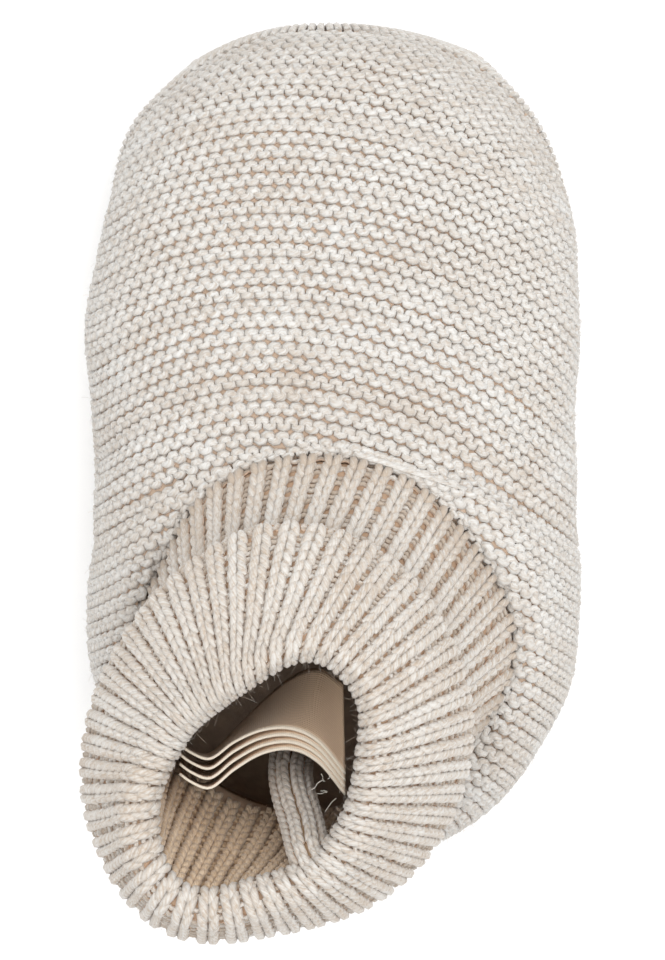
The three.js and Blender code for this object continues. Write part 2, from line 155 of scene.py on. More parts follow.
leg = {
    "ankleWidth": 49.0,
    "cuffWidth": 46.5,
    "mouthWidth": 25.0,
    "rimHeight": 57.0,
    "wall": 2.1,
    "foldRadius": 1.65,
    "tuck": 0.9,
    "ankleGap": 0.6,
    "cuffBulge": 1.2,
    "legBulge": 0.5,
    "ankleAt": (-0.095, 0.256),
    "hemBack": (3.4, 9.1),
    "mouthBack": (6.7, 13.0),
}
ankleCentre = np.array([leg["ankleAt"][0] * halfWidth, forward(leg["ankleAt"][1])])
hemCentre = ankleCentre - leg["hemBack"]
mouthCentre = ankleCentre - leg["mouthBack"]


def ringValue(column, angle):
    values = ringShape[:, ringColumns.index(column)]
    place = np.asarray(angle, float) / (2 * np.pi) % 1 * len(values)
    index = np.floor(place).astype(int)
    t = place - index
    p0, p1, p2, p3 = (values[(index + k) % len(values)] for k in (-1, 0, 1, 2))
    return p1 + 0.5 * t * (p2 - p0 + t * (2 * p0 - 5 * p1 + 4 * p2 - p3 + t * (3 * (p1 - p2) + p3 - p0)))


def ringPoint(centre, width, column, angle, height):
    reach = width / 2 * ringValue(column, angle)
    return np.array([centre[0] + reach * np.cos(angle), centre[1] + reach * np.sin(angle), height])


def anklePoint(angle):
    height = foot["instepHeight"] * ringValue("ankleUp", angle)
    return ringPoint(ankleCentre, leg["ankleWidth"], "ankle", angle, height)


outline, ankleEdge = {}, {}
for side, sign in sides.items():
    column = outlineShape[:, 1 if sign < 0 else 2]
    plan = [(halfWidth * x, forward(y), 0) for x, y in zip(column, outlineShape[:, 0])]
    outline[side] = measured(plan)
    turns = [math.pi / 2 - sign * math.pi * k / 24 for k in range(25)]
    ankleEdge[side] = measured([anklePoint(turn) for turn in turns])
instepEdge = anklePoint(math.pi / 2)
crest = measured([
    *((instepEdge[0] * smooth(1, 0.5, y), forward(y), mix(foot["toeSeamHeight"], foot["instepHeight"], z))
      for y, z in crestShape),
    instepEdge,
])
crestLength, ankleLength = crest[1][-1], ankleEdge["right"][1][-1]
instepRow = crestLength / (crestLength + ankleLength)

cornerEdge = rowShape[0, 1]
sideward = lambda edge: smooth(cornerEdge, 0.42, edge)
belly = lambda edge: mix(foot["toeSeamHeight"], foot["bellyHeight"], sideward(edge))
seamHeight = lambda edge: mix(foot["toeSeamHeight"], foot["sideSeamHeight"], sideward(edge))
curlRun = lambda edge: mix(foot["toeSpring"], foot["sideCurl"], sideward(edge))


def outwardAt(side, edge):
    ahead, behind = at(outline[side], min(1, edge + 0.004)), at(outline[side], max(0, edge - 0.004))
    tangent = ahead - behind
    return unit(np.array([-tangent[1], tangent[0], 0]) * sides[side])


def lowerSide(side, edge, drop):
    sine = min(1, drop / belly(edge))
    point = at(outline[side], edge) - outwardAt(side, edge) * curlRun(edge) * (1 - math.sqrt(1 - sine * sine))
    point[2] = belly(edge) - drop
    return point


def rowLine(side, row):
    edge = min(1, np.interp(row, rowShape[:, 0], rowShape[:, 1]))
    if row <= instepRow:
        top = at(crest, row / instepRow)
    else:
        top = at(ankleEdge[side], (row - instepRow) / (1 - instepRow))
    wide = at(outline[side], edge)
    wide[2] = belly(edge)
    angle = np.pi / 2 * (1 - np.arange(17) / 16)
    sweep = mix(2, foot["roundness"], smooth(instepRow - 0.1, instepRow + 0.25, row))
    cosine = np.abs(np.cos(angle))
    points = np.stack([
        mix(top[0], wide[0], cosine ** foot["roundness"]),
        mix(top[1], wide[1], cosine**sweep),
        mix(wide[2], top[2], np.sin(angle) ** foot["roundness"]),
    ], -1)
    drop = belly(edge) - seamHeight(edge)
    if drop > 0:
        points = np.vstack([points, [lowerSide(side, edge, drop * k / 4) for k in range(1, 5)]])
    if row == 0:
        points[:, 2] = foot["toeSeamHeight"]
    points[:, 2] = np.maximum(points[:, 2], seamHeight(edge)) + foot["seatGap"] / 2
    return measured(points, 8)


# Creases pressed into the foot by hand: the line each follows, its half width and its depth
creases = (
    {"line": ((-29, 2, 17), (-24, 3.5, 24), (-17, 2, 29)), "width": 2.6, "depth": 0.9},
    {"line": ((-29, -8, 15), (-25, -9, 22), (-20, -11, 26)), "width": 3.2, "depth": 0.5},
    {"line": ((28, -4, 16), (25, -10, 22), (24, -18, 25)), "width": 4.0, "depth": 0.5},
)


# Slack of a soft cloth: a few long waves, seeded, from -1 to 1
def slack(points, longest, seed):
    rng = np.random.default_rng(seed)
    wave = np.zeros(points.shape[:-1])
    for _ in range(7):
        heading = unit(rng.normal(size=3)) * 2 * np.pi / (longest * rng.uniform(0.5, 1))
        wave += np.sin(points @ heading + rng.uniform(0, 6.28))
    return wave / 3


def pressed(grid):
    wave = slack(grid["points"], surface["slackLength"], 3)
    points = grid["points"] + grid["normals"] * surface["slack"] * wave[..., None]
    for crease in creases:
        line = measured(crease["line"], 6)[0]
        gap = np.min(np.linalg.norm(points[:, :, None] - line, axis=-1), axis=-1)
        points = points - grid["normals"] * (crease["depth"] * np.exp(-((gap / crease["width"]) ** 2)))[..., None]
    return points


gridRows, gridAcross = 181, 97
rowShares = evenly(gridRows)
footGrid = {}
surface = {
    "slack": 0.22,
    "slackLength": 26,
    "easePasses": 300,
    "steadyRows": 4,
    "steadyColumns": 14,
    "agreement": 0.4,
    "lift": 2.0,
}


# Evens out the cloth behind the instep, where rows meet the ankle edge at a slant
def eased(points):
    row, share = rowShares[1:-1, None], evenly(gridAcross)[None, 1:-1]
    weight = smooth(0.36, 0.14, share) * smooth(instepRow - 0.03, instepRow + 0.03, row) * smooth(1, 0.93, row)
    points = points.copy()
    for _ in range(surface["easePasses"]):
        around = points[:-2, 1:-1] + points[2:, 1:-1] + points[1:-1, :-2] + points[1:-1, 2:]
        points[1:-1, 1:-1] += 0.5 * weight[..., None] * (around / 4 - points[1:-1, 1:-1])
    return points


inside = np.array([0, forward(0.45), 12])
for side in sides:
    lines = [rowLine(side, k / (gridRows - 1)) for k in range(gridRows)]
    points = eased(np.array([at(line, evenly(gridAcross)) for line in lines]))
    normals = gridNormals(points, inside)
    # The toe's rows and the columns by the crest and ankle take the normals of their steadier neighbours
    normals[: surface["steadyRows"]] = normals[surface["steadyRows"]]
    crestward = normals[:, : surface["steadyColumns"]]
    steady = normals[:, surface["steadyColumns"], None]
    turned = np.sum(crestward * steady, -1, keepdims=True) < surface["agreement"]
    normals[:, : surface["steadyColumns"]] = np.where(turned, steady, crestward)
    behind = smooth(instepRow - 0.01, instepRow + 0.05, rowShares)[:, None]
    rise = smooth(30, 12, np.arange(gridAcross))[None, :] * behind
    footGrid[side] = {
        "points": points,
        "lengths": np.array([line[1][-1] for line in lines]),
        "normals": unit(normals + rise[..., None] * (0, 0, surface["lift"])),
    }
vampRows = int(instepRow * (gridRows - 1))
middle = unit(footGrid["left"]["normals"][:vampRows, 0] + footGrid["right"]["normals"][:vampRows, 0])
for grid in footGrid.values():
    grid["normals"][:vampRows, 0] = middle
    grid["points"] = pressed(grid)
print("foot surface measured")


# Underside of the sole
outlineSamples = np.vstack([at(outline[side], evenly(161)) for side in sides])[:, :2]
sampleEdges = np.tile(evenly(161), 2)


def undersideHeight(plan):
    gaps = np.linalg.norm(plan[..., None, :] - outlineSamples, axis=-1)
    edge = sampleEdges[np.argmin(gaps, -1)]
    inward = np.maximum(0, 1 - np.min(gaps, -1) / curlRun(edge))
    curl = belly(edge) * (1 - np.sqrt(1 - np.minimum(1, inward**2)))
    along = (plan[..., 1] - heelBack) / foot["length"]
    waist = smooth(0.24, 0.36, along) * (1 - smooth(0.46, 0.58, along))
    return curl + foot["archLift"] * waist * (1 - inward)


seamPath = {
    side: np.array([
        lowerSide(side, edge, belly(edge) - seamHeight(edge) + foot["seatGap"] / 2)
        for edge in evenly(201)
    ])
    for side in sides
}
soleBack, soleFront = seamPath["left"][-1][1], seamPath["left"][0][1]


# A line across the sole at one distance from the heel
def soleLine(y):
    ends = np.array([readLine(seamPath[side], -seamPath[side][:, 1], -y) for side in sides])
    x = mix(ends[0, 0], ends[1, 0], evenly(61))
    plan = np.stack([x, np.full_like(x, y)], -1)
    edgeRise = ends[:, 2]
    height = undersideHeight(plan)
    height[[0, -1]] = edgeRise
    points = np.column_stack([plan, np.minimum(height, edgeRise.max())])
    return points, runAlong(points)


# Leg, fold and cuff as strips measured from the ankle to the hem, in the middle of the cloth
def legStrip(angle):
    ankle = anklePoint(angle)
    inward = np.array([-math.cos(angle), -math.sin(angle), 0])
    start = ankle + inward * (leg["ankleGap"] + leg["wall"] / 2) - (0, 0, foot["seatGap"])
    bottom = np.array([start[0], start[1], ankle[2] - leg["tuck"]])
    rollRadius = leg["foldRadius"] + leg["wall"] / 2
    rim = leg["rimHeight"] * ringValue("rimUp", angle)
    mouth = ringPoint(mouthCentre, leg["mouthWidth"], "mouth", angle, rim - rollRadius)
    hem = ringPoint(hemCentre, leg["cuffWidth"], "hem", angle, leg["rimHeight"] * ringValue("hemUp", angle))
    outward = unit((hem - mouth) * (1, 1, 0))
    centre = mouth + outward * rollRadius
    rise = centre - start
    climb = unit(outward * (rise @ outward) + (0, 0, rise[2]))
    away = unit(np.array([outward[0] * climb[2], outward[1] * climb[2], -outward @ climb]))
    legTop, cuffTop = centre - away * leg["foldRadius"], centre + away * leg["foldRadius"]
    hemMiddle = hem - outward * leg["wall"] / 2
    legMiddle = (start + legTop) / 2 + away * leg["legBulge"]
    cuffMiddle = (cuffTop + hemMiddle) / 2 + away * leg["cuffBulge"]
    turn = np.pi * np.arange(1, 8)[:, None] / 8
    fold = centre + leg["foldRadius"] * (climb * np.sin(turn) - away * np.cos(turn))
    legLine = at(measured([start, legMiddle, legTop]), evenly(12))
    cuffLine = at(measured([cuffTop, cuffMiddle, hemMiddle]), evenly(12))
    points = np.vstack([bottom, legLine, fold, cuffLine])
    run = runAlong(points)
    return points, run, run[12] + math.pi * leg["foldRadius"] / 2


rib = {
    "columns": 48,
    "pitch": 1.5,
    "yarn": 0.46,
    "open": 0.33,
    "point": 0.1,
    "valley": 0.66,
    "core": 0.25,
    "inside": 24,
    "nearRim": 3,
    "veeReach": (-0.78, 0.76),
    "veeLift": 0.34,
    "bar": 0.3,
    "barReach": 0.34,
    "barBend": 0.4,
}
stripCount, stripSteps = rib["columns"] * 4, 81
stripShares = evenly(stripCount + 1)
strips = [legStrip(2 * math.pi * k / stripCount) for k in range(stripCount + 1)]
legGrid = {
    "points": np.array([at((points, run), evenly(stripSteps)) for points, run, rim in strips]),
    "lengths": np.array([run[-1] for points, run, rim in strips]),
    "rims": np.array([rim for points, run, rim in strips]),
}
legNormals = np.cross(np.gradient(legGrid["points"], axis=0), np.gradient(legGrid["points"], axis=1))
legNormals[0] = legNormals[-1] = legNormals[0] + legNormals[-1]
legGrid["normals"] = unit(legNormals)


# Points on the leg: turn is the azimuth as a share of a circle, run is from the ankle, and out is towards
# the face that is outside on the leg and inside on the cuff
def legAt(turn, run, sideways=0.0, out=0.0):
    place = np.asarray(turn, float) % 1
    lengths = np.interp(place, stripShares, legGrid["lengths"])
    points, normals = readGrid(legGrid, place, run / lengths)
    step = 0.25 / rib["columns"]
    ahead = readGrid(legGrid, (place + step) % 1, run / lengths)[0]
    behind = readGrid(legGrid, (place - step) % 1, run / lengths)[0]
    across = unit(ahead - behind)
    spacing = np.linalg.norm(ahead - behind, axis=-1) * 2
    points = points + across * np.asarray(sideways)[..., None] + normals * np.asarray(out)[..., None]
    return points, normals, spacing


print("leg surface measured")


# Meshes from numbers
def link(name, mesh):
    thing = bpy.data.objects.new(name, mesh)
    scene.collection.objects.link(thing)
    return thing


def inMetres(points):
    return (np.asarray(points) + shift) / 1000


def sheetMesh(name, layers, material):
    front = layers[0]
    rows, columns = front.shape[:2]
    count = rows * columns
    index = np.arange(count).reshape(rows, columns)
    quads = np.stack([index[:-1, :-1], index[:-1, 1:], index[1:, 1:], index[1:, :-1]], -1).reshape(-1, 4)
    faces = [quads, quads[:, ::-1] + count]
    for border, turn in ((index[0], 1), (index[-1], -1), (index[:, 0], -1), (index[:, -1], 1)):
        a, b = border[:-1], border[1:]
        strip = np.stack([b, a, a + count, b + count], -1)
        faces.append(strip if turn > 0 else strip[:, ::-1])
    mesh = bpy.data.meshes.new(name)
    points = inMetres(np.vstack([layer.reshape(-1, 3) for layer in layers]))
    mesh.from_pydata(points.tolist(), [], np.vstack(faces).tolist())
    mesh.shade_smooth()
    mesh.materials.append(material)
    return link(name, mesh)


# Node trees
def addNode(tree, kind, inputs=None, **settings):
    node = tree.nodes.new(kind)
    for key, value in settings.items():
        setattr(node, key, value)
    for key, value in (inputs or {}).items():
        if isinstance(value, bpy.types.NodeSocket):
            tree.links.new(value, node.inputs[key])
        else:
            node.inputs[key].default_value = value
    return node


def addMath(tree, operation, a, b=0.0):
    return addNode(tree, "ShaderNodeMath", {0: a, 1: b}, operation=operation).outputs[0]


def addVector(tree, operation, inputs, output="Vector"):
    return addNode(tree, "ShaderNodeVectorMath", inputs, operation=operation).outputs[output]


def addRange(tree, value, low, high, least=0.0, most=1.0, **settings):
    inputs = {"Value": value, "From Min": low, "From Max": high, "To Min": least, "To Max": most}
    return addNode(tree, "ShaderNodeMapRange", inputs, **settings).outputs[0]


def addNoise(tree, place, scale, detail):
    inputs = {"Vector": place, "Scale": scale, "Detail": detail}
    return addNode(tree, "ShaderNodeTexNoise", inputs).outputs[0]


# Mixes two colours, which are the sockets 6 and 7 of the node
def mixColours(tree, factor, first, second):
    inputs = {"Factor": factor, 6: first, 7: second}
    return addNode(tree, "ShaderNodeMix", inputs, data_type="RGBA").outputs[2]


def addSockets(tree, inputs, outputs):
    for direction, sockets in (("INPUT", inputs), ("OUTPUT", outputs)):
        for name, kind, *value in sockets:
            socket = tree.interface.new_socket(name, in_out=direction, socket_type="NodeSocket" + kind)
            if value:
                socket.default_value = value[0]
    return tree.nodes.new("NodeGroupInput").outputs, tree.nodes.new("NodeGroupOutput").inputs


# Tubes along strands: a strand is a chain of edges, and thick is its radius at each point
def makeYarnTree():
    tree = bpy.data.node_groups.new("yarnTubes", "GeometryNodeTree")
    given, made = addSockets(
        tree,
        [("Strands", "Geometry"), ("Sides", "Int", 6), ("Material", "Material")],
        [("Yarn", "Geometry")],
    )

    def named(name, kind):
        return addNode(tree, "GeometryNodeInputNamedAttribute", {"Name": name}, data_type=kind).outputs[0]

    def keep(geometry, name, value, kind):
        inputs = {"Geometry": geometry, "Name": name, "Value": value}
        return addNode(tree, "GeometryNodeStoreNamedAttribute", inputs, data_type=kind, domain="POINT").outputs[0]

    curves = addNode(tree, "GeometryNodeMeshToCurve", {"Mesh": given["Strands"]}).outputs[0]
    length = addNode(tree, "GeometryNodeSplineParameter").outputs["Length"]
    curves = keep(curves, "along", length, "FLOAT")
    circle = addNode(tree, "GeometryNodeCurvePrimitiveCircle", {"Resolution": given["Sides"], "Radius": 1.0})
    place = addNode(tree, "GeometryNodeInputPosition").outputs[0]
    profile = keep(circle.outputs[0], "ring", place, "FLOAT_VECTOR")
    inputs = {"Curve": curves, "Profile Curve": profile, "Scale": named("thick", "FLOAT"), "Fill Caps": True}
    tubes = addNode(tree, "GeometryNodeCurveToMesh", inputs).outputs[0]
    tubes = addNode(tree, "GeometryNodeSetShadeSmooth", {"Geometry": tubes}).outputs[0]
    normal = addNode(tree, "GeometryNodeInputNormal").outputs[0]
    rise = addVector(tree, "DOT_PRODUCT", {0: normal, 1: named("out", "FLOAT_VECTOR")}, "Value")
    tubes = keep(tubes, "rise", rise, "FLOAT")
    tubes = addNode(tree, "GeometryNodeRealizeInstances", {"Geometry": tubes}).outputs[0]
    tubes = addNode(tree, "GeometryNodeSetMaterial", {"Geometry": tubes, "Material": given["Material"]}).outputs[0]
    tree.links.new(tubes, made["Yarn"])
    return tree


yarnTree = makeYarnTree()


# Runs a node tree on an object and keeps the plain mesh that comes out
def grow(thing, tree, values):
    modifier = thing.modifiers.new("grow", "NODES")
    modifier.node_group = tree
    for item in tree.interface.items_tree:
        if item.in_out == "INPUT" and item.name in values:
            modifier[item.identifier] = values[item.name]
    depsgraph = bpy.context.evaluated_depsgraph_get()
    made = bpy.data.meshes.new_from_object(
        thing.evaluated_get(depsgraph), preserve_all_data_layers=True, depsgraph=depsgraph
    )
    old = thing.data
    thing.modifiers.remove(modifier)
    thing.data = made
    bpy.data.meshes.remove(old)
    return thing


# Strands collected for one piece: points (many, steps, 3), out the same, thick and tone per point. tone darkens
# the yarn, both at random and as painted shade where strands lie deep
class Strands:
    def __init__(self):
        self.points, self.out, self.thick, self.tone, self.edges, self.count = [], [], [], [], [], 0

    def add(self, points, out, thick, tone=0.0):
        points = np.asarray(points, float)
        if points.ndim == 2:
            points, out = points[None], np.asarray(out)[None]
        many, steps = points.shape[:2]
        spread = lambda value: np.broadcast_to(value, (many, steps)).reshape(-1)
        index = self.count + np.arange(many * steps).reshape(many, steps)
        self.points.append(points.reshape(-1, 3))
        self.out.append(np.broadcast_to(out, points.shape).reshape(-1, 3))
        self.thick.append(spread(thick))
        self.tone.append(spread(tone))
        self.edges.append(np.stack([index[:, :-1], index[:, 1:]], -1).reshape(-1, 2))
        self.count += many * steps

    def knit(self, name, material, tubeSides=6):
        mesh = bpy.data.meshes.new(name)
        mesh.from_pydata(inMetres(np.vstack(self.points)).tolist(), np.vstack(self.edges).tolist(), [])
        for key, values in (("thick", np.concatenate(self.thick) / 1000), ("tone", np.concatenate(self.tone))):
            mesh.attributes.new(key, "FLOAT", "POINT").data.foreach_set("value", values.astype(np.float32))
        out = mesh.attributes.new("out", "FLOAT_VECTOR", "POINT")
        out.data.foreach_set("vector", np.vstack(self.out).astype(np.float32).ravel())
        thing = grow(link(name, mesh), yarnTree, {"Sides": tubeSides, "Material": material})
        print(name, "polygons", len(thing.data.polygons))
        return thing


# Materials
def colour(red, green, blue):
    linear = lambda c: c / 12.92 if c <= 0.04045 else ((c + 0.055) / 1.055) ** 2.4
    return (*(linear(c / 255) for c in (red, green, blue)), 1.0)


# Spun yarn: fine twisted fibres and heathered flecks, as a colour and a height, with painted crevice light and
# shade on the flanks that face into the cloth
def makeYarnLook():
    tree = bpy.data.node_groups.new("yarnLook", "ShaderNodeTree")
    given, made = addSockets(
        tree,
        [("Light", "Color"), ("Dark", "Color"), ("Gap", "Color")],
        [("Colour", "Color"), ("Height", "Float")],
    )

    def named(name, output):
        return addNode(tree, "ShaderNodeAttribute", attribute_name=name).outputs[output]

    along = named("along", "Fac")
    inputs = {"Vector": named("ring", "Vector"), "Angle": addMath(tree, "MULTIPLY", along, 1500.0)}
    turned = addNode(tree, "ShaderNodeVectorRotate", inputs, rotation_type="Z_AXIS").outputs[0]
    place = addNode(tree, "ShaderNodeTexCoord").outputs["Object"]
    drift = addNode(tree, "ShaderNodeCombineXYZ", {"Z": addMath(tree, "MULTIPLY", along, 260.0)}).outputs[0]
    # Streaks turn with the yarn's twist, drift along it, and differ from place to place
    streakPlace = addVector(tree, "ADD", {0: addVector(tree, "SCALE", {0: turned, "Scale": 2.6}), 1: drift})
    patch = addVector(tree, "SCALE", {0: place, "Scale": 140.0})
    streak = addNoise(tree, addVector(tree, "ADD", {0: streakPlace, 1: patch}), 1.0, 2.0)
    heather = addNoise(tree, place, 2200.0, 3.0)
    cloud = addNoise(tree, place, 90.0, 2.0)

    shade = addMath(tree, "MULTIPLY", addRange(tree, streak, 0.34, 0.66), 0.8)
    shade = addMath(tree, "ADD", shade, addMath(tree, "MULTIPLY", addRange(tree, heather, 0.5, 0.72), 0.6))
    # tone carries random differences between strands and the painted shade of deep strands
    shade = addMath(tree, "ADD", shade, named("tone", "Fac"))
    shade = addMath(tree, "ADD", shade, addMath(tree, "MULTIPLY", addMath(tree, "SUBTRACT", cloud, 0.5), 0.5))
    body = mixColours(tree, shade, given["Light"], given["Dark"])
    # Painted crevice light and shade: flanks that face away from the strand's out direction take the crevice
    # colour, in place of the light that bounces and the shade that falls between stitches
    paintedCreviceMask = addRange(tree, named("rise", "Fac"), 0.2, -0.45, interpolation_type="SMOOTHSTEP")
    tree.links.new(mixColours(tree, paintedCreviceMask, body, given["Gap"]), made["Colour"])
    height = addMath(tree, "ADD", streak, addMath(tree, "MULTIPLY", heather, 0.35))
    tree.links.new(height, made["Height"])
    return tree


yarnLook = makeYarnLook()


def newMaterial(name, values):
    material = bpy.data.materials.new(name)
    material.use_nodes = True
    for key, value in values.items():
        material.node_tree.nodes["Principled BSDF"].inputs[key].default_value = value
    return material


# Gives a material its colour and the relief of its surface, with the relief's depth in metres
def paint(material, tone, height, strength, depth):
    tree = material.node_tree
    bump = addNode(tree, "ShaderNodeBump", {"Height": height, "Strength": strength, "Distance": depth})
    tree.links.new(tone, tree.nodes["Principled BSDF"].inputs["Base Color"])
    tree.links.new(bump.outputs[0], tree.nodes["Principled BSDF"].inputs["Normal"])
    return material


# gap is the colour painted on the yarn's inward flanks: painted crevice light and shade
def yarnMaterial(name, light, dark, gap):
    values = {"Roughness": 0.9, "Sheen Weight": 0.25, "Sheen Roughness": 0.5, "Specular IOR Level": 0.2}
    material = newMaterial(name, values)
    tones = {"Light": colour(*light), "Dark": colour(*dark), "Gap": colour(*gap)}
    look = addNode(material.node_tree, "ShaderNodeGroup", tones, node_tree=yarnLook).outputs
    return paint(material, look["Colour"], look["Height"], 0.85, 0.00013)


def plainCloth(name, tone, grain):
    material = newMaterial(name, {"Roughness": 0.95, "Specular IOR Level": 0.1})
    tree = material.node_tree
    noise = addNoise(tree, addNode(tree, "ShaderNodeTexCoord").outputs["Object"], grain, 3.0)
    dark, light = colour(*(c * 0.86 for c in tone)), colour(*(min(255, c * 1.1) for c in tone))
    return paint(material, mixColours(tree, noise, dark, light), noise, 0.5, 0.0002)


# Each yarn's third colour is painted crevice light and shade: warm and light on the foot and ribs, darker inside
# the leg
footYarn = yarnMaterial("footYarn", (202, 201, 198), (178, 168, 157), (242, 219, 198))
# The ribs' yarn is the foot's yarn painted a little darker and warmer: painted shade on the cuff and leg
ribYarn = yarnMaterial("ribYarn", (198, 195, 190), (173, 159, 144), (240, 214, 190))
# The yarn inside the leg is a darker, browner copy of the rib yarn: painted shade of the slipper's inside
innerYarn = yarnMaterial("innerYarn", (200, 180, 156), (172, 146, 118), (170, 138, 108))
# The cloth sheets behind the yarn are brownish: painted shade between the stitches
footCloth = plainCloth("footCloth", (186, 165, 146), 700)
ribCloth = plainCloth("ribCloth", (180, 154, 131), 700)


def keepPiece(thing, slotName, *nodes):
    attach(thing, "root")
    if nodes:
        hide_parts(*nodes)


# Garter stitch of the foot: each ridge is one yarn swinging up and down once a stitch
garter = {
    "ridge": 1.77,
    "stitch": 1.72,
    "yarn": 1.14,
    "swing": 0.45,
    "neck": 0.1,
    "crown": -0.4,
    "dip": 0.16,
    "tilt": 0.13,
    "steps": 8,
    "cloth": 0.7,
    "toeBand": 3.6,
    "reach": 70,
    "frontRidges": 22,
    "slack": 0.12,
    "slackLength": 30,
    "neighbours": 56,
    "passes": 120,
}
shake = np.random.default_rng(11)
path = crestLength + ankleLength


# One yarn of a ridge: runs, swing to each side, height and thickness. phase is a share of a stitch
def garterWave(count, start=0, phase=0.0):
    s = np.arange(count) / garter["steps"] * garter["stitch"] + start
    turn = 2 * np.pi * (s / garter["stitch"] + phase)
    knots = np.linspace(s[0], s[-1], max(2, count // garter["steps"]))
    loose = lambda size: 1 + size * np.interp(s, knots, shake.normal(size=len(knots)))
    swing = garter["swing"] * (np.sin(turn) + 0.05 * np.sin(3 * turn)) * loose(0.1)
    slide = -garter["neck"] * garter["stitch"] * np.sin(2 * turn)
    height = garter["crown"] - garter["dip"] * np.cos(turn) ** 2 * loose(0.15)
    return s + slide, swing, height, loose(0.05)


def stepsIn(length):
    return int(length / garter["stitch"]) * garter["steps"]


# Adds the unbroken stretches of a yarn
def addRuns(strands, points, normals, height, thick, valid, tone):
    breaks = np.flatnonzero(np.diff(np.concatenate([[0], valid.astype(int), [0]])))
    for a, b in zip(breaks[::2], breaks[1::2]):
        if b - a > 4:
            strand = points[a:b] + normals[a:b] * height[a:b, None]
            strands.add(strand, normals[a:b], garter["yarn"] / 2 * thick[a:b], tone)


# How far the seam at the toe reaches up the foot from the end of each row
def bandReach(row):
    return mix(garter["toeBand"], 1.5, smooth(0.1, 0.22, row))


# Level of every point of the foot, counted in millimetres of cloth from the toe. Behind the instep it is
# the cloth's own distance, so ridges stay evenly spaced and the ankle edge cuts them
def ridgeField(side):
    grid, step = footGrid[side], 2
    points = grid["points"][::step, ::step]
    rows, columns = points.shape[:2]
    row, share = evenly(rows)[:, None], evenly(columns)[None, :]
    field = row * path - garter["tilt"] * sides[side] * share * grid["lengths"][::step, None]
    front = np.broadcast_to(row <= instepRow - 0.09, field.shape)
    known, cloud = front.ravel(), points.reshape(-1, 3)
    reached = np.where(known, field.ravel(), 1e3)
    square = np.sum(cloud**2, 1)
    near = np.argpartition(square[:, None] + square - 2 * cloud @ cloud.T, garter["neighbours"], axis=1)
    near = near[:, : garter["neighbours"]]
    gaps = np.linalg.norm(cloud[near] - cloud[:, None], axis=-1)
    for _ in range(garter["passes"]):
        reached = np.where(known, reached, np.minimum(reached, np.min(reached[near] + gaps, axis=1)))
    field = reached.reshape(rows, columns)
    wide = np.pad(field, 1, mode="reflect", reflect_type="odd")
    average = (wide[:-2, 1:-1] + wide[2:, 1:-1] + wide[1:-1, :-2] + wide[1:-1, 2:] + 2 * field) / 6
    field = np.where(front, field, average) + garter["slack"] * slack(points, garter["slackLength"], 5)
    return row[:, 0], share[0], np.minimum.accumulate(field[::-1], axis=0)[::-1]


fields = {side: ridgeField(side) for side in sides}


# The line of one ridge on one side: its share of each row's length, its row and the run along it
def ridgeLine(side, level):
    rows, shares, field = fields[side]
    row = np.array([np.interp(level, field[:, k], rows, left=-0.01, right=1.01) for k in range(len(shares))])
    place = readGrid(footGrid[side], row, shares)[0]
    ahead = unit(np.gradient(place, axis=0))
    return {"side": side, "share": shares, "row": row, "run": runAlong(place, 1e-6), "ahead": ahead}


# Points of the yarn on that line at runs from the crest or the ankle edge, swung square to it. Up to
# before its start, the line is carried on straight
def onRidge(line, spots, swing, before=0.0):
    grid, read = footGrid[line["side"]], lambda values: np.interp(spots, line["run"], values)
    row, share = read(line["row"]), read(line["share"])
    points, normals = readGrid(grid, row, share)
    along = readLine(line["ahead"], line["run"], spots)
    points = points + unit(np.cross(along, normals)) * swing[:, None] + along * np.minimum(spots, 0)[:, None]
    lengths = np.interp(row, rowShares, grid["lengths"])
    clear = ((1 - share) * lengths > bandReach(row) - 0.5) & (row > frontStart) & (row < 0.998)
    return points, normals, clear & (spots <= line["run"][-1]) & (spots > -0.1 - before)


footFront, footBack = Strands(), Strands()
frontStart = (garter["toeBand"] - 0.6) / path
reach = stepsIn(garter["reach"])
for ridge in range(int(max(field.max() for _, _, field in fields.values()) / garter["ridge"])):
    level = (ridge + 0.5) * garter["ridge"]
    lines = {side: ridgeLine(side, level) for side in sides}
    target = footFront if ridge < garter["frontRidges"] else footBack
    if level < instepRow * path:
        ends = [readGrid(footGrid[side], line["row"][0], 0.0)[0] for side, line in lines.items()]
        half = np.linalg.norm(np.subtract(*ends)) / 2
        start = -reach / garter["steps"] * garter["stitch"]
        run, swing, height, thick = garterWave(2 * reach, start, ridge / 3)
        points, normals, valid = np.zeros((len(run), 3)), np.zeros((len(run), 3)), np.zeros(len(run), bool)
        for side, sign in sides.items():
            own = run < 0 if sign < 0 else run >= 0
            spots = np.abs(run[own]) - half
            points[own], normals[own], valid[own] = onRidge(lines[side], spots, sign * swing[own], half)
        addRuns(target, points, normals, height, thick, valid, 0.05 * shake.normal())
        continue
    for side in sides:
        length = lines[side]["run"][-1]
        count = int(length / garter["stitch"] + 1) * garter["steps"]
        run, swing, height, thick = garterWave(count, 0, ridge / 3)
        points, normals, valid = onRidge(lines[side], length - run, sides[side] * swing)
        addRuns(target, points, normals, height, thick, valid, 0.05 * shake.normal())

# A seam closes the heel from the ankle to the sole
heelSeam = {"swing": 0.7, "out": 0.1, "size": 0.55, "tone": 0.05}
heel = measured(footGrid["right"]["points"][-1][::6], 8)
run, swing, height, thick = garterWave(stepsIn(heel[1][-1]))
points = readLine(*heel, run) + np.stack([heelSeam["swing"] * swing, 0 * swing - heelSeam["out"], 0 * swing], -1)
footBack.add(points, np.tile((0, -1, 0), (len(run), 1)), heelSeam["size"] * thick, heelSeam["tone"])

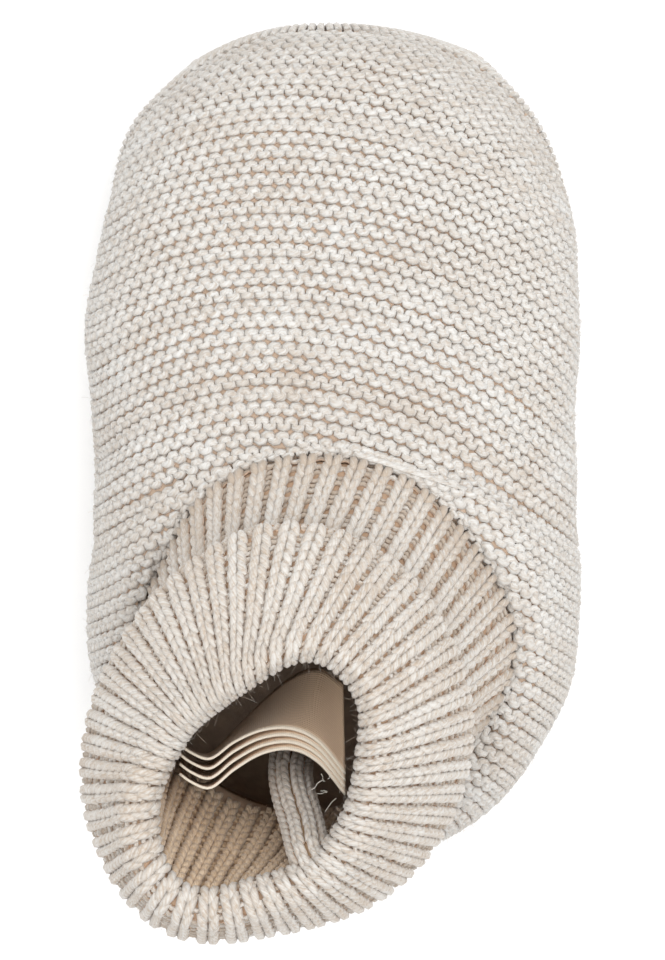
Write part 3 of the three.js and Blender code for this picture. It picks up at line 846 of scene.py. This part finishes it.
# The edge that the leg is picked up from: a swinging yarn, a cord inside it, and hooks between the two. The cord
# and hooks are painted dark: painted shade under the garter's edge
pickUp = {
    "swing": 0.8,
    "inward": 0.3,
    "sink": 0.12,
    "size": 0.5,
    "cord": 1.0,
    "cordInward": 0.6,
    "cordDrop": 1.9,
    "hook": 0.46,
    "hookPath": ((-0.2, -0.9), (0.25, -0.65), (0.8, -1.1), (1.1, -2.1)),
}
edgeRows = np.linspace(instepRow + 0.004, 1, 80)
edgeParts = [readGrid(footGrid[side], edgeRows, 0 * edgeRows) for side in sides]
edgePlace, edgeNormal = (np.vstack([left[::-1], right[1:]]) for left, right in zip(*edgeParts))
edgeRun = runAlong(edgePlace)
run, swing, height, thick = garterWave(stepsIn(edgeRun[-1]))
points, normals, along = (
    readLine(values, edgeRun, run) for values in (edgePlace, edgeNormal, unit(np.gradient(edgePlace, axis=0)))
)
across = unit(np.cross(along, normals))
across = across * np.sign(np.sum(across[:, :2] * (ankleCentre - points[:, :2]), -1, keepdims=True))
points = points + across * (pickUp["swing"] * swing[:, None] + pickUp["inward"])
points = points + normals * (height - pickUp["sink"])[:, None]
footBack.add(points, unit(normals + (0, 0, 1.2)), pickUp["size"] * thick, 0.0)
ankleTurns = np.linspace(0, 2 * np.pi, 181)
ankleInward = np.stack([-np.cos(ankleTurns), -np.sin(ankleTurns), 0 * ankleTurns], -1)
ankleLine = np.array([anklePoint(turn) for turn in ankleTurns]) + ankleInward * pickUp["cordInward"]
# Painted shade: the cord deep under the edge is made dark
footBack.add(ankleLine - (0, 0, pickUp["cordDrop"]), -ankleInward, pickUp["cord"], 0.9)
for column in range(rib["columns"] * 2):
    turn = 2 * np.pi * (column + 0.5) / rib["columns"] / 2
    inward = np.array([-math.cos(turn), -math.sin(turn), 0])
    hook = [anklePoint(turn) + inward * reach + (0, 0, up) for reach, up in pickUp["hookPath"]]
    footBack.add(hook, np.tile(-inward, (4, 1)) + (0, 0, 0.5), pickUp["hook"], 0.55 + 0.1 * shake.normal())
keepPiece(footFront.knit("footFront", footYarn, 5), "foot_knit")
keepPiece(footBack.knit("footBack", footYarn, 5), "foot_knit")

# Cloth behind the garter ridges, hollow inside, and lower where the leg is picked up; its brownish colour is
# painted shade between the ridges
for side in sides:
    rows, across = np.meshgrid(evenly(91), evenly(41), indexing="ij")
    place, normal = readGrid(footGrid[side], rows, across)
    place[..., 2] -= 0.7 * smooth(0.14, 0.02, across) * smooth(instepRow, instepRow + 0.05, rows)
    layers = [place - normal * garter["cloth"], place - normal * (foot["wall"] - 0.15)]
    if side == "right":
        layers = [layer[:, ::-1] for layer in layers]
    cloth = sheetMesh("footCloth_" + side, layers, footCloth)
    keepPiece(cloth, "foot_knit", *(["upper"] if side == "left" else []))
print("foot knitted")

# Raised linking seam round the sole: short upright stitches over a cord
seam = {"spacing": 0.95, "yarn": 0.98, "rise": 0.4, "sink": 0.3, "lean": 0.2, "cord": 0.7, "cordSink": 0.25}
seamYarn = Strands()
for side, sign in sides.items():
    grid = footGrid[side]
    run = runAlong(np.vstack([grid["points"][0][:-1], grid["points"][:, -1]]))
    rowsAlong = np.concatenate([np.zeros(gridAcross - 1), rowShares])
    acrossAlong = np.concatenate([evenly(gridAcross)[:-1], np.ones(gridRows)])
    edgeAt = lambda spots: (np.interp(spots, run, rowsAlong), np.interp(spots, run, acrossAlong))
    steps = np.linspace(-0.1, 1, 7)
    lift = seam["rise"] * np.sin(np.pi * np.linspace(0.15, 0.97, 7)) ** 0.6 - seam["sink"]
    for place in np.arange(0.4, run[-1], seam["spacing"]):
        spot = place + seam["lean"] * sign * steps
        row, across = edgeAt(spot)
        lengths = np.interp(row, rowShares, grid["lengths"])
        onToe = 1 - smooth(gridAcross - 14, gridAcross + 9, np.interp(spot, run, np.arange(len(run))))
        band = (bandReach(row) - 0.3) * np.maximum(steps, 0)
        row, across = np.maximum(row, onToe * band / path), across - (1 - onToe) * band / lengths
        points, normals = readGrid(grid, row, across)
        seamYarn.add(points + normals * lift[:, None], normals, seam["yarn"] / 2, 0.06 * shake.normal())
    points, normals = readGrid(grid, *edgeAt(np.arange(0, run[-1], 0.6)))
    points = points - normals * seam["cordSink"] - (0, 0, seam["cordSink"])
    seamYarn.add(points, unit(points - inside + (0, 0, 20)), seam["cord"] / 2, 0.15)
keepPiece(seamYarn.knit("linkingSeam", footYarn), "foot_knit")
print("seam linked")

# Garter stitch of the sole
centreline = np.array([(0, y, 0) for y in np.linspace(soleBack + 0.5, soleFront - 0.5, 161)])
centreline[:, 2] = undersideHeight(centreline[:, :2])
centreRun = runAlong(centreline)
soleRows = np.interp(np.arange(0, centreRun[-1], garter["ridge"]), centreRun, centreline[:, 1])
soleLevels = np.linspace(soleBack + 0.3, soleFront - 0.3, 91)
solePoints = np.array([at(soleLine(y), evenly(61)) for y in soleLevels])
soleNormals = gridNormals(solePoints, np.array([0, forward(0.5), 30]))
soleNormals[-4:], soleNormals[:3] = soleNormals[-5], soleNormals[3]
soleGrid = {"points": solePoints, "normals": soleNormals}
soleYarn = Strands()
for y in soleRows:
    length = soleLine(y)[1][-1]
    stitches = max(1, int((length - 1.2) / garter["stitch"]))
    run, swing, height, thick = garterWave(stitches * garter["steps"] + 1, -stitches * garter["stitch"] / 2)
    level = (y + swing - soleLevels[0]) / (soleLevels[-1] - soleLevels[0])
    points, normals = readGrid(soleGrid, level, 0.5 + run / length)
    points = points + normals * (height + 0.05)[:, None]
    soleYarn.add(points, normals, garter["yarn"] / 2 * thick, 0.05 * shake.normal())

# One more yarn runs round the sole's edge
toeEnd = solePoints[-1, 15:-14:15] * (1, 1, 0) + (0, 0.2, solePoints[-1, 0, 2])
edge = measured(np.vstack([solePoints[::2, 0], toeEnd, solePoints[::-2, -1]]), 4)
run, swing, height, thick = garterWave(stepsIn(edge[1][-1]))
points = readLine(*edge, run)
out = unit((points - inside) * (1, 1, 0))
points = points - out * 0.4 + np.stack([0 * swing, 0 * swing, 0.5 * swing - 0.15], -1)
soleYarn.add(points, out - (0, 0, 0.4), 0.6 * thick, 0.1)
keepPiece(soleYarn.knit("soleYarn", footYarn, 5), "sole_knit")
# The sole's cloth has the foot's brownish colour: painted shade between the ridges
outer = (solePoints * (0.972, 0.975, 1) + (0, 0, garter["cloth"]))[::2, ::2]
inner = (solePoints * (0.94, 0.95, 1) + (0, 0, foot["soleWall"] - 0.1))[::2, ::2]
keepPiece(sheetMesh("soleCloth", [outer, inner], footCloth), "sole_knit", "sole")
print("sole knitted")


# V stitches with their points towards the end of the run. place gives points and normals for a run, a
# distance sideways and a distance out
def addVees(strands, place, middle, pitch, spacing, out, slim, tone):
    k = evenly(6)
    run = middle[:, None] + pitch * mix(*rib["veeReach"], k)
    lift = out + rib["veeLift"] * np.sin(np.pi * mix(0.1, 0.85, k))
    wobble = 1 + 0.08 * shake.normal(size=(len(middle), 1))
    for hand in (-1, 1):
        sideways = hand * mix(spacing * rib["open"], spacing * rib["point"], k**0.7) * wobble
        points, normals = place(run, sideways, np.broadcast_to(lift, run.shape))
        thick = slim * np.sin(np.pi * mix(0.1, 0.94, k)) ** 0.5
        strands.add(points, normals, thick, tone + 0.06 * shake.normal(size=(len(middle), 1)))


# A column of ribbing. face is 1 outside the leg, -1 inside and on the cuff
def ribColumn(strands, turn, start, stop, face, tone, size=1.0):
    count = max(1, int(round((stop - start) / rib["pitch"])))
    pitch = (stop - start) / count
    middle = start + pitch * (np.arange(count) + 0.5)
    spacing = legAt(np.full(count, turn), middle)[2][:, None]

    def place(run, sideways, out):
        points, normals, _ = legAt(np.full(run.shape, turn), run, sideways, face * out)
        return points, normals * face

    slim = np.clip(rib["yarn"] / 2 * spacing, 0.36, 0.6) * size
    shadow = 0.8 * np.exp(-middle / 1.6)[:, None] * (face > 0)
    addVees(strands, place, middle, pitch, spacing * size, leg["wall"] / 2 - 0.58, slim, tone + shadow)
    spots = np.linspace(start, stop, count + 1)
    # The core strand between the V's is painted darker: painted shade under them
    strands.add(*place(spots, 0 * spots, np.full(count + 1, leg["wall"] / 2 - 0.75)), 0.55, tone + 0.4)


# Small bars that cross the valleys between the columns, painted darker as shade in the valleys
def ribValley(strands, turn, start, stop, face, tone):
    count = max(1, int(round((stop - start) / rib["pitch"] * 2)))
    middle = mix(start, stop, (np.arange(count) + 0.5) / count)
    spacing = legAt(np.full(count, turn), middle)[2]
    k = np.linspace(-1, 1, 3)
    sideways = spacing[:, None] * rib["barReach"] * k
    out = face * (leg["wall"] / 2 - rib["valley"] - 0.2 * k**2 + 0.08 * shake.normal(size=(count, 1)))
    run = middle[:, None] + rib["barBend"] * (1 - k**2) * shake.choice([-1, 1], size=(count, 1))
    points, normals, _ = legAt(np.full(run.shape, turn), run, sideways, np.broadcast_to(out, run.shape))
    strands.add(points, normals * face, rib["bar"], tone + 0.6 + 0.3 * shake.normal(size=(count, 1)))


legYarn, insideYarn, cuffYarn = Strands(), Strands(), Strands()
for column in range(rib["columns"]):
    for half, face in ((0.0, 1), (0.5, -1)):
        turn = (column + half) / rib["columns"]
        opposite = (column + half + 0.5) / rib["columns"]
        length, rim = (np.interp(turn, stripShares, legGrid[key]) for key in ("lengths", "rims"))
        tone = 0.04 * shake.normal()
        if face > 0:
            covered = min(rim - 2.5, 2 * rim - length + 4)
            ribColumn(legYarn, turn, 0.2, covered, 1, tone, 0.94)
            ribValley(legYarn, opposite, 0.2, covered, 1, tone)
            ribColumn(legYarn, turn, length - 3, length - 0.4, 1, tone)
        else:
            start, stop = max(0.3, rim - rib["inside"]), rim - rib["nearRim"]
            ribColumn(insideYarn, turn, start, stop, -1, tone, 0.9)
            ribValley(insideYarn, opposite, start, stop, -1, tone)
            ribColumn(cuffYarn, turn, stop, length - 0.4, -1, tone)
            # The cuff's valley bars take less painted shade
            ribValley(cuffYarn, opposite, stop, length - 0.4, -1, tone - 0.4)
        # A loop round the hem's edge
        k = np.linspace(-1, 1, 5)
        run = length - 0.9 + 0.75 * np.cos(k * np.pi / 2)
        points, normals, _ = legAt(np.full(5, turn), run, 0 * k, face * 0.62 * k)
        cuffYarn.add(points, normals * -1, 0.42, 0.1)

# Inner seam: a thick fold of ribbing that runs down from the rim into the leg
fold = {
    "radius": 2.2,
    "sink": 0.35,
    "pitch": 1.4,
    "spacing": 1.8,
    "leans": (-1.25, -0.42, 0.42, 1.25),
    "path": ((-0.9, -46.9, 47.2), (-2.4, -44.6, 46), (-3.6, -40.5, 40), (-4.9, -35.5, 32), (-4.4, -30, 18)),
}
foldLine, foldRun = measured(fold["path"])
foldAhead = unit(np.gradient(foldLine, axis=0))
foldSide = unit(np.cross(foldAhead, (0, 0, 1)))
foldUp = np.cross(foldSide, foldAhead)
# The fold's core between its columns of V's is painted dark: painted shade
insideYarn.add(foldLine, foldUp, fold["radius"] - fold["sink"], 0.7)
foldStitches = np.arange(0.8, foldRun[-1] - 0.8, fold["pitch"])
foldSpacing = np.full((len(foldStitches), 1), fold["spacing"])
for lean in fold["leans"]:
    def onFold(run, sideways, out):
        angle = (lean + sideways / fold["radius"])[..., None]
        line, up, side = (readLine(values, foldRun, run) for values in (foldLine, foldUp, foldSide))
        normals = up * np.cos(angle) + side * np.sin(angle)
        return line + normals * (fold["radius"] - fold["sink"] + out[..., None]), normals

    addVees(cuffYarn, onFold, foldStitches, fold["pitch"], foldSpacing, 0.1 * abs(lean), 0.42, 0.0)
keepPiece(legYarn.knit("legYarn", ribYarn, 5), "rib_knit")
keepPiece(insideYarn.knit("insideYarn", innerYarn, 5), "rib_knit")
keepPiece(cuffYarn.knit("cuffYarn", ribYarn), "rib_knit")

# Stray fibres: thin arcs that stand off the yarn
def addHairs(strands, points, normals, length):
    many = len(points)
    heading = unit(shake.normal(size=(many, 3)) + normals * 0.3)
    bend = unit(shake.normal(size=(many, 3))) - 0.6 * heading
    k = evenly(5)[None, :, None]
    size = (length * shake.uniform(0.4, 1.4, many))[:, None, None]
    line = points[:, None] + size * (k * heading[:, None] + 0.9 * k**2 * bend[:, None])
    strands.add(line, normals[:, None], hairs["radius"], -0.1)


# beyond says how far from the rim they stand, along the cloth
hairs = {
    "radius": 0.014,
    "foot": {"count": 900, "length": 0.8},
    "leg": (
        {"count": 1500, "length": 1.0, "beyond": (0.0, 9.0), "face": -1},
        {"count": 420, "length": 1.3, "beyond": (-3.0, 1.0), "face": -1},
        {"count": 400, "length": 1.0, "beyond": (-14.0, -4.0), "face": 1},
    ),
}
ribHairs, footHairs = Strands(), Strands()
for kind in hairs["leg"]:
    turn = shake.uniform(0, 1, kind["count"])
    run = np.interp(turn, stripShares, legGrid["rims"]) + shake.uniform(*kind["beyond"], kind["count"])
    points, normals, _ = legAt(turn, run, 0 * turn, np.full(kind["count"], kind["face"] * leg["wall"] / 2))
    addHairs(ribHairs, points, normals * kind["face"], kind["length"])
for side in sides:
    row = shake.uniform(0.01, 0.99, hairs["foot"]["count"])
    share = shake.uniform(0, 0.97, hairs["foot"]["count"])
    addHairs(footHairs, *readGrid(footGrid[side], row, share), hairs["foot"]["length"])
keepPiece(ribHairs.knit("ribHairs", ribYarn, 3), "rib_knit")
keepPiece(footHairs.knit("footHairs", footYarn, 3), "foot_knit")
# Cloth in the middle of the ribbing, brownish as painted shade between the columns
core = legGrid["normals"] * rib["core"]
layers = [(legGrid["points"] + out)[::2, ::2] for out in (core, -core)]
keepPiece(sheetMesh("ribCloth", layers, ribCloth), "rib_knit", "collar")
print("leg and cuff ribbed")

# Woven ribbon label folded in leaves, blank
label = {
    "width": 12.0,
    "thickness": 0.3,
    "leaves": 4,
    "spread": 1.15,
    "stack": 0.8,
    "height": 43.5,
    "steps": (49, 13),
}
# Upper edge in plan: across, back, and how far its lower edge runs forward
labelShape = np.array([
    (0.435, -0.07, 0.88), (0.31, 0.08, 0.72), (0.19, 0.14, 0.5), (0.05, 0.135, 0.26),
    (-0.08, 0.08, 0.1), (-0.2, 0.0, 0.04), (-0.29, 0.03, 0.0), (-0.345, 0.07, 0.0),
])


def ribbonMaterial():
    material = newMaterial("ribbonWeave", {"Roughness": 0.55, "Sheen Weight": 0.2})
    tree = material.node_tree
    spot = addNode(tree, "ShaderNodeUVMap").outputs[0]
    parts = addNode(tree, "ShaderNodeSeparateXYZ", {"Vector": spot}).outputs
    weft = addMath(tree, "SINE", addMath(tree, "MULTIPLY", parts["Y"], 2 * math.pi * 34))
    warp = addMath(tree, "SINE", addMath(tree, "MULTIPLY", parts["X"], 2 * math.pi * 90))
    weave = addMath(tree, "ADD", weft, addMath(tree, "MULTIPLY", warp, 0.4))
    edge = addRange(tree, parts["Y"], 0.0, 0.07, 1.0, 0.0, interpolation_type="SMOOTHSTEP")
    tint = mixColours(tree, edge, colour(216, 186, 156), colour(208, 197, 180))
    shaded = addRange(tree, weave, -1.4, 1.4, 0.84, 1.05)
    tone = addVector(tree, "SCALE", {0: tint, "Scale": shaded})
    return paint(material, tone, weave, 0.4, 0.00008)


ribbon = ribbonMaterial()
spread = mix(label["stack"], label["spread"], smooth(0.2, -0.2, labelShape[:, 0]))
lengthways, t = (evenly(count) for count in label["steps"])
for leaf in range(label["leaves"]):
    edgeLine = measured(np.column_stack([
        mouthCentre[0] + leg["mouthWidth"] * labelShape[:, 0],
        mouthCentre[1] + leg["mouthWidth"] * labelShape[:, 1] - leaf * spread,
        label["width"] * labelShape[:, 2],
    ]))
    place = at(edgeLine, lengthways)
    drop = np.sqrt(label["width"] ** 2 - place[:, 2] ** 2)
    face = np.stack([
        np.repeat(place[:, :1], len(t), 1),
        place[:, 1:2] + place[:, 2:3] * t,
        label["height"] - drop[:, None] * t,
    ], -1)
    normal = unit(np.cross(np.gradient(face, axis=0), np.gradient(face, axis=1)))
    if np.mean(normal[..., 1]) < 0:
        normal = -normal
    piece = sheetMesh(f"labelLeaf_{leaf + 1}", [face, face + normal * label["thickness"]], ribbon)
    uv = piece.data.uv_layers.new(name="UVMap")
    spots = np.stack(np.meshgrid(lengthways, t, indexing="ij"), -1).reshape(-1, 2)
    corners = np.zeros(len(piece.data.loops), int)
    piece.data.loops.foreach_get("vertex_index", corners)
    uv.data.foreach_set("uv", spots[corners % len(spots)].astype(np.float32).ravel())
    keepPiece(piece, "label_ribbon", f"label_leaf_{leaf + 1}")
    length = float(runAlong(face[:, len(t) // 2])[-1]) / 1000
    print("leaf", leaf + 1, "length", round(length, 4))

# Loose threads at the cut end
threadCloth = plainCloth("threadCloth", (236, 230, 220), 300)
threads = Strands()
endAt = np.array([mouthCentre[0] + leg["mouthWidth"] * labelShape[0, 0], mouthCentre[1] - 2.5, label["height"]])
for _ in range(7):
    start = endAt + shake.uniform((-3.0, -2.5, -0.4), (0.0, 1.0, 0.1))
    steps = shake.normal((0, 0, 0), 0.08, (6, 3)) + shake.normal((-0.1, -0.2, 0.05), 0.15, (1, 3))
    threads.add(start + np.cumsum(steps, axis=0), np.tile((0, 0, 1), (6, 1)), 0.035)
keepPiece(threads.knit("labelThreads", threadCloth, 4), "label_ribbon")
print("label folded")

# Stage
floorMesh = bpy.data.meshes.new("floor")
floorMesh.from_pydata([(-3, -3, 0), (3, -3, 0), (3, 3, 0), (-3, 3, 0)], [], [(0, 1, 2, 3)])
floorMesh.materials.append(newMaterial("paper", {"Base Color": (0.93, 0.93, 0.93, 1), "Roughness": 0.9}))
link("floor", floorMesh)


# Half the slipper's height, in metres
middleUp = 0.03


def softLight(name, place, size, power):
    light = bpy.data.lights.new(name, "AREA")
    light.shape, light.size, light.energy = "DISK", size, power
    thing = bpy.data.objects.new(name, light)
    scene.collection.objects.link(thing)
    thing.location = place
    thing.rotation_euler = (Vector((0, 0, middleUp)) - Vector(place)).to_track_quat("-Z", "Y").to_euler()


softLight("overhead", (0.1, 0.05, 1.6), 3.0, 42)
softLight("fill", (1.0, 0.2, 1.3), 1.0, 2)
world = bpy.data.worlds.new("studio")
world.use_nodes = True
world.node_tree.nodes["Background"].inputs["Color"].default_value = (1, 1, 1, 1)
world.node_tree.nodes["Background"].inputs["Strength"].default_value = 0.8
scene.world = world
scene.view_settings.view_transform = "Standard"

# The photo looks straight down, with the toe at the top
camera = bpy.data.cameras.new("camera")
camera.sensor_width = 36.0
distance, coverLong = 3.0, 0.1136
camera.lens = camera.sensor_width * (distance - middleUp) / coverLong
eye = bpy.data.objects.new("camera", camera)
scene.collection.objects.link(eye)
eye.location = (shift[0] / 1000, shift[1] / 1000, distance)
camera.clip_start, camera.clip_end = 0.1, 10
scene.camera = eye
